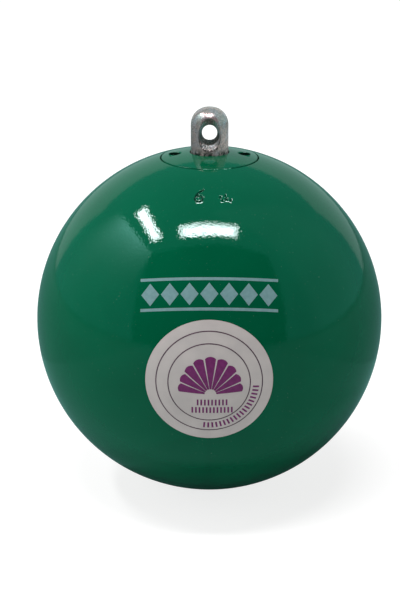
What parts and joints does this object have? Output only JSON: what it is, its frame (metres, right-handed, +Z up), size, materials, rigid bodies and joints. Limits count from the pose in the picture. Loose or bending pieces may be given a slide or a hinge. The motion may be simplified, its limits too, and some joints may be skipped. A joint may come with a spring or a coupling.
{
  "type": "throwing hammer head",
  "caption": "Painted steel ball of a throwing hammer with a flush screwed plug and a swivelling steel eye that takes the wire; a thrust bearing and a balance slug sit inside.",
  "frame": {"origin": "centre of the small turned flat at the bottom pole of the ball, on which the head stands", "axes": "+Z up along the axis of the ball, the plug and the swivel; -Y towards the marked front, with the label on it; the wire hole of the eye runs along Y at rest"},
  "size_m": [0.113, 0.1132, 0.127],
  "materials": {
    "enamel_green": "gloss",
    "turned_steel": "satin",
    "ground_steel": "polished",
    "zinc_steel": "satin",
    "oxide_steel": "satin",
    "bronze": "satin",
    "cage_brass": "satin",
    "black_rubber": "matte",
    "lead": "matte",
    "label_film": "satin"
  },
  "bodies": {
    "head": {"head_body": "enamel_green", "swivel_plug": "enamel_green", "dust_seal": "black_rubber", "spindle_bush": "bronze", "bearing_upper_race": "ground_steel", "slug_retainer": "oxide_steel", "balance_slug": "lead", "round_label": "label_film"},
    "swivel": {"swivel_spindle": "turned_steel", "bearing_lower_race": "ground_steel", "nut_washer": "zinc_steel", "slotted_nut": "oxide_steel", "split_pin": "zinc_steel"},
    "cage": {"ball_cage": "cage_brass"},
    "ball_01": {"bearing_ball_01": "ground_steel"},
    "ball_02": {"bearing_ball_02": "ground_steel"},
    "ball_03": {"bearing_ball_03": "ground_steel"},
    "ball_04": {"bearing_ball_04": "ground_steel"},
    "ball_05": {"bearing_ball_05": "ground_steel"},
    "ball_06": {"bearing_ball_06": "ground_steel"},
    "ball_07": {"bearing_ball_07": "ground_steel"},
    "ball_08": {"bearing_ball_08": "ground_steel"},
    "ball_09": {"bearing_ball_09": "ground_steel"},
    "ball_10": {"bearing_ball_10": "ground_steel"}
  },
  "joints": [
    {"name": "swivel_spin", "type": "hinge", "parent": "head", "child": "swivel", "pos_m": [0, 0, 0.08578], "axis": [0, 0, 1], "continuous": true},
    {"name": "cage_spin", "type": "hinge", "parent": "head", "child": "cage", "pos_m": [0, 0, 0.08578], "axis": [0, 0, 1], "continuous": true},
    {"name": "ball_01_roll", "type": "hinge", "parent": "cage", "child": "ball_01", "pos_m": [0.0095, 0, 0.08578], "axis": [1, 0, 0], "continuous": true},
    {"name": "ball_02_roll", "type": "hinge", "parent": "cage", "child": "ball_02", "pos_m": [0.00769, 0.00558, 0.08578], "axis": [0.809, 0.5878, 0], "continuous": true},
    {"name": "ball_03_roll", "type": "hinge", "parent": "cage", "child": "ball_03", "pos_m": [0.00294, 0.00904, 0.08578], "axis": [0.309, 0.9511, 0], "continuous": true},
    {"name": "ball_04_roll", "type": "hinge", "parent": "cage", "child": "ball_04", "pos_m": [-0.00294, 0.00904, 0.08578], "axis": [-0.309, 0.9511, 0], "continuous": true},
    {"name": "ball_05_roll", "type": "hinge", "parent": "cage", "child": "ball_05", "pos_m": [-0.00769, 0.00558, 0.08578], "axis": [-0.809, 0.5878, 0], "continuous": true},
    {"name": "ball_06_roll", "type": "hinge", "parent": "cage", "child": "ball_06", "pos_m": [-0.0095, 0, 0.08578], "axis": [-1, 0, 0], "continuous": true},
    {"name": "ball_07_roll", "type": "hinge", "parent": "cage", "child": "ball_07", "pos_m": [-0.00769, -0.00558, 0.08578], "axis": [-0.809, -0.5878, 0], "continuous": true},
    {"name": "ball_08_roll", "type": "hinge", "parent": "cage", "child": "ball_08", "pos_m": [-0.00294, -0.00904, 0.08578], "axis": [-0.309, -0.9511, 0], "continuous": true},
    {"name": "ball_09_roll", "type": "hinge", "parent": "cage", "child": "ball_09", "pos_m": [0.00294, -0.00904, 0.08578], "axis": [0.309, -0.9511, 0], "continuous": true},
    {"name": "ball_10_roll", "type": "hinge", "parent": "cage", "child": "ball_10", "pos_m": [0.00769, -0.00558, 0.08578], "axis": [0.809, -0.5878, 0], "continuous": true}
  ],
  "couplings": [
    {"joint": "cage_spin", "follows": "swivel_spin", "ratio": 0.5},
    {"joint": "ball_01_roll", "follows": "swivel_spin", "ratio": 1.9952},
    {"joint": "ball_02_roll", "follows": "swivel_spin", "ratio": 1.9952},
    {"joint": "ball_03_roll", "follows": "swivel_spin", "ratio": 1.9952},
    {"joint": "ball_04_roll", "follows": "swivel_spin", "ratio": 1.9952},
    {"joint": "ball_05_roll", "follows": "swivel_spin", "ratio": 1.9952},
    {"joint": "ball_06_roll", "follows": "swivel_spin", "ratio": 1.9952},
    {"joint": "ball_07_roll", "follows": "swivel_spin", "ratio": 1.9952},
    {"joint": "ball_08_roll", "follows": "swivel_spin", "ratio": 1.9952},
    {"joint": "ball_09_roll", "follows": "swivel_spin", "ratio": 1.9952},
    {"joint": "ball_10_roll", "follows": "swivel_spin", "ratio": 1.9952}
  ]
}
